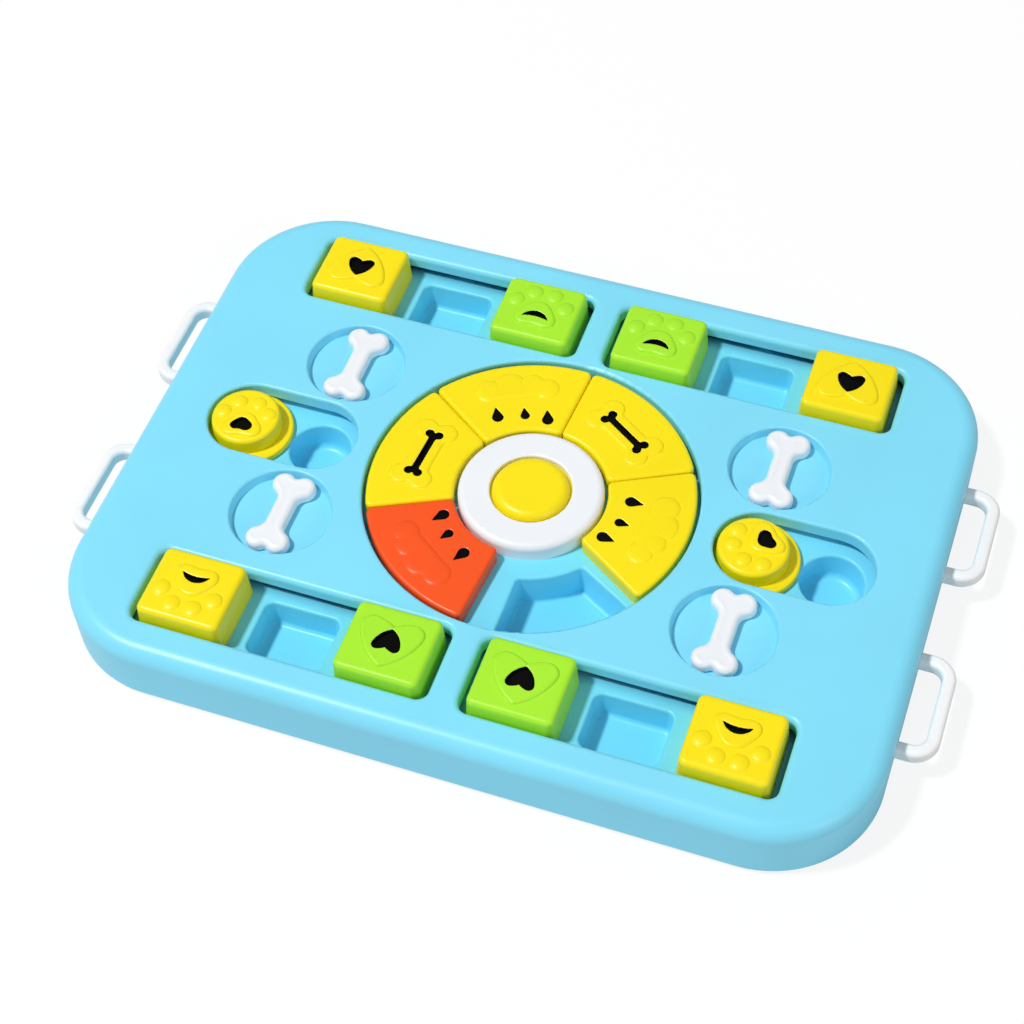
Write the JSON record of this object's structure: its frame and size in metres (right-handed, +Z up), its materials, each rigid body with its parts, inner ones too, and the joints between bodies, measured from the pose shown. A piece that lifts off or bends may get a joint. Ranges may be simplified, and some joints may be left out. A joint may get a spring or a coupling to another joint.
{
  "type": "pet puzzle feeder",
  "caption": "Flat treat puzzle for pets with sliding blocks, round sliding caps, a ring of turning tiles, lift-off bones in dishes and loop handles.",
  "frame": {"origin": "on the standing surface, under the middle of the toy", "axes": "+X along the long side, +Y to the back, +Z up"},
  "size_m": [0.3828, 0.259, 0.0381],
  "materials": {
    "sky_plastic": "satin",
    "sun_plastic": "satin",
    "leaf_plastic": "satin",
    "coral_plastic": "satin",
    "snow_plastic": "satin",
    "foot_rubber": "matte",
    "screw_steel": "satin",
    "spring_steel": "satin"
  },
  "bodies": {
    "housing": {"top_shell": "sky_plastic", "bottom_shell": "sky_plastic", "bottom_floor": "sky_plastic", "bottom_posts": "sky_plastic", "slot_tray_bl": "sky_plastic", "slot_tray_br": "sky_plastic", "slot_tray_fl": "sky_plastic", "slot_tray_fr": "sky_plastic", "round_tray_l": "sky_plastic", "round_tray_r": "sky_plastic", "wheel_tray": "sky_plastic", "hub_ring": "snow_plastic", "handle_bl": "snow_plastic", "handle_br": "snow_plastic", "handle_fl": "snow_plastic", "handle_fr": "snow_plastic", "case_screws": "screw_steel", "rubber_feet": "foot_rubber"},
    "button": {"hub_button": "sun_plastic", "button_spring": "spring_steel"},
    "block_bl_outer": {"block_bl_outer": "sun_plastic"},
    "block_bl_inner": {"block_bl_inner": "leaf_plastic"},
    "block_br_inner": {"block_br_inner": "leaf_plastic"},
    "block_br_outer": {"block_br_outer": "sun_plastic"},
    "block_fl_outer": {"block_fl_outer": "sun_plastic"},
    "block_fl_inner": {"block_fl_inner": "leaf_plastic"},
    "block_fr_inner": {"block_fr_inner": "leaf_plastic"},
    "block_fr_outer": {"block_fr_outer": "sun_plastic"},
    "round_cap_l": {"round_cap_l": "sun_plastic"},
    "round_cap_r": {"round_cap_r": "sun_plastic"},
    "tile_cloud_right": {"tile_cloud_right": "sun_plastic"},
    "tile_bone_right": {"tile_bone_right": "sun_plastic"},
    "tile_cloud_top": {"tile_cloud_top": "sun_plastic"},
    "tile_bone_left": {"tile_bone_left": "sun_plastic"},
    "tile_cloud_left": {"tile_cloud_left": "coral_plastic"},
    "bone_bl": {"bone_bl": "snow_plastic"},
    "bone_br": {"bone_br": "snow_plastic"},
    "bone_fl": {"bone_fl": "snow_plastic"},
    "bone_fr": {"bone_fr": "snow_plastic"}
  },
  "joints": [
    {"name": "slide_bl_outer", "type": "slide", "parent": "housing", "child": "block_bl_outer", "axis": [1, 0, 0], "range_m": [-0.0025, 0.0482]},
    {"name": "slide_bl_inner", "type": "slide", "parent": "housing", "child": "block_bl_inner", "axis": [1, 0, 0], "range_m": [-0.0482, 0.0025]},
    {"name": "slide_br_inner", "type": "slide", "parent": "housing", "child": "block_br_inner", "axis": [1, 0, 0], "range_m": [-0.0025, 0.0482]},
    {"name": "slide_br_outer", "type": "slide", "parent": "housing", "child": "block_br_outer", "axis": [1, 0, 0], "range_m": [-0.0482, 0.0025]},
    {"name": "slide_fl_outer", "type": "slide", "parent": "housing", "child": "block_fl_outer", "axis": [1, 0, 0], "range_m": [-0.0025, 0.0482]},
    {"name": "slide_fl_inner", "type": "slide", "parent": "housing", "child": "block_fl_inner", "axis": [1, 0, 0], "range_m": [-0.0482, 0.0025]},
    {"name": "slide_fr_inner", "type": "slide", "parent": "housing", "child": "block_fr_inner", "axis": [1, 0, 0], "range_m": [-0.0025, 0.0482]},
    {"name": "slide_fr_outer", "type": "slide", "parent": "housing", "child": "block_fr_outer", "axis": [1, 0, 0], "range_m": [-0.0482, 0.0025]},
    {"name": "slide_round_l", "type": "slide", "parent": "housing", "child": "round_cap_l", "axis": [1, 0, 0], "range_m": [0, 0.0348]},
    {"name": "slide_round_r", "type": "slide", "parent": "housing", "child": "round_cap_r", "axis": [1, 0, 0], "range_m": [0, 0.0348]},
    {"name": "turn_cloud_right", "type": "hinge", "parent": "housing", "child": "tile_cloud_right", "pos_m": [0, 0, 0.024], "axis": [0, 0, 1], "range_deg": [-61.6, 0]},
    {"name": "turn_cloud_left", "type": "hinge", "parent": "housing", "child": "tile_cloud_left", "pos_m": [0, 0, 0.024], "axis": [0, 0, 1], "range_deg": [0, 61.6]},
    {"name": "turn_bone_left", "type": "hinge", "parent": "housing", "child": "tile_bone_left", "pos_m": [0, 0, 0.024], "axis": [0, 0, 1], "range_deg": [0, 61.6]},
    {"name": "turn_cloud_top", "type": "hinge", "parent": "housing", "child": "tile_cloud_top", "pos_m": [0, 0, 0.024], "axis": [0, 0, 1], "range_deg": [0, 61.6]},
    {"name": "turn_bone_right", "type": "hinge", "parent": "housing", "child": "tile_bone_right", "pos_m": [0, 0, 0.024], "axis": [0, 0, 1], "range_deg": [0, 61.6]},
    {"name": "press_button", "type": "slide", "parent": "housing", "child": "button", "axis": [0, 0, -1], "range_m": [0, 0.003], "stiffness_N_per_m": 400, "springref_m": -0.001, "deforming": ["button_spring"]},
    {"name": "lift_bone_bl", "type": "slide", "parent": "housing", "child": "bone_bl", "axis": [0, 0, 1], "range_m": [0, 0.06]},
    {"name": "lift_bone_br", "type": "slide", "parent": "housing", "child": "bone_br", "axis": [0, 0, 1], "range_m": [0, 0.06]},
    {"name": "lift_bone_fl", "type": "slide", "parent": "housing", "child": "bone_fl", "axis": [0, 0, 1], "range_m": [0, 0.06]},
    {"name": "lift_bone_fr", "type": "slide", "parent": "housing", "child": "bone_fr", "axis": [0, 0, 1], "range_m": [0, 0.06]}
  ],
  "couplings": [
    {"joint": "turn_bone_left", "follows": "turn_cloud_left", "ratio": 1},
    {"joint": "turn_cloud_top", "follows": "turn_cloud_left", "ratio": 1},
    {"joint": "turn_bone_right", "follows": "turn_cloud_left", "ratio": 1}
  ]
}
